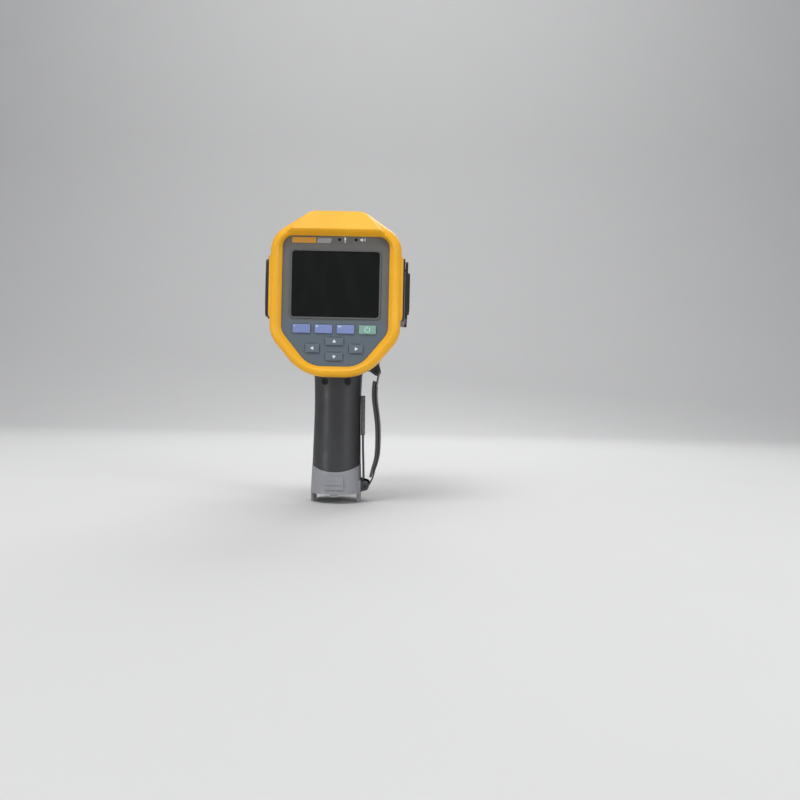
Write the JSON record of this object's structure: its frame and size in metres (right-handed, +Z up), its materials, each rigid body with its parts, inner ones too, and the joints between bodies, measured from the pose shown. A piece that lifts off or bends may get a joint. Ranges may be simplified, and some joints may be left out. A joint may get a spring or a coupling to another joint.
{
  "type": "thermal imaging camera",
  "caption": "Pistol-grip thermal imager with a bumper ring round its display and keys, a focusing infrared lens with a swinging cover, triggers, side port doors and a hand strap.",
  "frame": {"origin": "centre of the battery bay's mouth, at the rim of the handle's collar", "axes": "+X to the operator's right, +Y forward to the lens, +Z up the handle to the head"},
  "size_m": [0.1226, 0.1673, 0.2452],
  "materials": {
    "yellow_casing": "moulded rubber-touch plastic, fine grain",
    "charcoal_casing": "satin, fine grain",
    "grey_panel": "satin, fine grain",
    "collar_grey": "satin",
    "badge_yellow": "smooth",
    "window_black": "polished",
    "frame_dark": "smooth",
    "blue_key": "silicone, smooth",
    "green_key": "silicone, smooth",
    "grey_key": "silicone, smooth",
    "black_rubber": "moulded",
    "webbing": "woven nylon",
    "pad_fabric": "padded nylon",
    "hook_tape": "hook and loop",
    "black_metal": "anodised",
    "steel": "plain",
    "black_oxide": "plain",
    "contact_metal": "gold plated",
    "germanium": "coated",
    "clear_glass": "clear lens",
    "laser_red": "tinted window",
    "circuit_board": "solder mask",
    "module_grey": "stamped",
    "inner_plastic": "plain"
  },
  "bodies": {
    "camera": {"rear_bezel": "yellow_casing", "fascia": "grey_panel", "badge_strip": "badge_yellow", "display_frame": "frame_dark", "display_window": "window_black", "display_module": "module_grey", "key_board": "circuit_board", "chassis_plate": "module_grey", "main_board": "circuit_board", "board_screws": "steel", "speaker": "inner_plastic", "fascia_sensors": "window_black", "rear_shell": "charcoal_casing", "front_shell": "charcoal_casing", "case_gasket": "black_rubber", "neck_screws": "black_oxide", "front_cowl": "yellow_casing", "collar": "collar_grey", "battery_liner": "inner_plastic", "battery_contacts": "contact_metal", "lens_barrel": "black_metal", "front_ring": "black_metal", "detector_housing": "black_metal", "detector_core": "circuit_board", "shutter_motor": "steel", "visual_camera": "clear_glass", "torch_lens": "clear_glass", "laser_window": "laser_red", "trigger_bracket": "inner_plastic", "trigger_pins": "steel", "trigger_switches": "inner_plastic", "right_port_housing": "charcoal_casing", "left_port_housing": "charcoal_casing", "port_sockets": "steel", "door_pins": "steel", "cover_pivot_pin": "steel", "strap_bracket": "charcoal_casing", "strap_bars": "black_oxide", "strap_pad": "pad_fabric", "strap_webbing": "webbing", "strap_tail": "hook_tape"},
    "f1_key": {"f1_key": "blue_key"},
    "f2_key": {"f2_key": "blue_key"},
    "f3_key": {"f3_key": "blue_key"},
    "power_key": {"power_key": "green_key"},
    "up_key": {"up_key": "grey_key"},
    "down_key": {"down_key": "grey_key"},
    "left_key": {"left_key": "grey_key"},
    "right_key": {"right_key": "grey_key"},
    "primary_trigger": {"primary_trigger": "charcoal_casing"},
    "secondary_trigger": {"secondary_trigger": "grey_panel"},
    "focus_ring": {"focus_ring": "black_rubber"},
    "focus_cell": {"focus_cell": "black_metal", "front_lens": "germanium"},
    "shutter_flag": {"shutter_flag": "black_metal"},
    "lens_cover": {"lens_cover": "charcoal_casing"},
    "right_port_door": {"right_port_door": "black_rubber"},
    "left_port_door": {"left_port_door": "black_rubber"}
  },
  "joints": [
    {"name": "f1_press", "type": "slide", "parent": "camera", "child": "f1_key", "axis": [0, 1, 0], "range_m": [0, 0.0008], "stiffness_N_per_m": 500},
    {"name": "f2_press", "type": "slide", "parent": "camera", "child": "f2_key", "axis": [0, 1, 0], "range_m": [0, 0.0008], "stiffness_N_per_m": 500},
    {"name": "f3_press", "type": "slide", "parent": "camera", "child": "f3_key", "axis": [0, 1, 0], "range_m": [0, 0.0008], "stiffness_N_per_m": 500},
    {"name": "power_press", "type": "slide", "parent": "camera", "child": "power_key", "axis": [0, 1, 0], "range_m": [0, 0.0008], "stiffness_N_per_m": 500},
    {"name": "up_press", "type": "slide", "parent": "camera", "child": "up_key", "axis": [0, 1, 0], "range_m": [0, 0.0008], "stiffness_N_per_m": 500},
    {"name": "down_press", "type": "slide", "parent": "camera", "child": "down_key", "axis": [0, 1, 0], "range_m": [0, 0.0008], "stiffness_N_per_m": 500},
    {"name": "left_press", "type": "slide", "parent": "camera", "child": "left_key", "axis": [0, 1, 0], "range_m": [0, 0.0008], "stiffness_N_per_m": 500},
    {"name": "right_press", "type": "slide", "parent": "camera", "child": "right_key", "axis": [0, 1, 0], "range_m": [0, 0.0008], "stiffness_N_per_m": 500},
    {"name": "primary_pull", "type": "hinge", "parent": "camera", "child": "primary_trigger", "pos_m": [0, 0.018, 0.092], "axis": [-1, 0, 0], "range_deg": [0, 6], "stiffness_Nm_per_rad": 0.5},
    {"name": "secondary_pull", "type": "hinge", "parent": "camera", "child": "secondary_trigger", "pos_m": [0, 0.018, 0.1022], "axis": [-1, 0, 0], "range_deg": [0, 5], "stiffness_Nm_per_rad": 0.3},
    {"name": "focus_turn", "type": "hinge", "parent": "camera", "child": "focus_ring", "pos_m": [0, 0.092, 0.186], "axis": [0, 1, 0], "range_deg": [-45, 45]},
    {"name": "focus_slide", "type": "slide", "parent": "camera", "child": "focus_cell", "axis": [0, 1, 0], "range_m": [-0.0012, 0.0012]},
    {"name": "shutter_swing", "type": "hinge", "parent": "camera", "child": "shutter_flag", "pos_m": [0.0106, 0.0523, 0.1754], "axis": [0, 1, 0], "range_deg": [0, 55]},
    {"name": "cover_swing", "type": "hinge", "parent": "camera", "child": "lens_cover", "pos_m": [-0.0293, 0.105, 0.16125], "axis": [0, -1, 0], "range_deg": [0, 80.4]},
    {"name": "right_door_swing", "type": "hinge", "parent": "camera", "child": "right_port_door", "pos_m": [0.0584, 0.0115, 0.174], "axis": [0, 0, 1], "range_deg": [0, 100]},
    {"name": "left_door_swing", "type": "hinge", "parent": "camera", "child": "left_port_door", "pos_m": [-0.0584, 0.0115, 0.174], "axis": [0, 0, -1], "range_deg": [0, 100]}
  ],
  "couplings": [
    {"joint": "focus_slide", "follows": "focus_turn", "m_per_rad": 0.0015279}
  ]
}
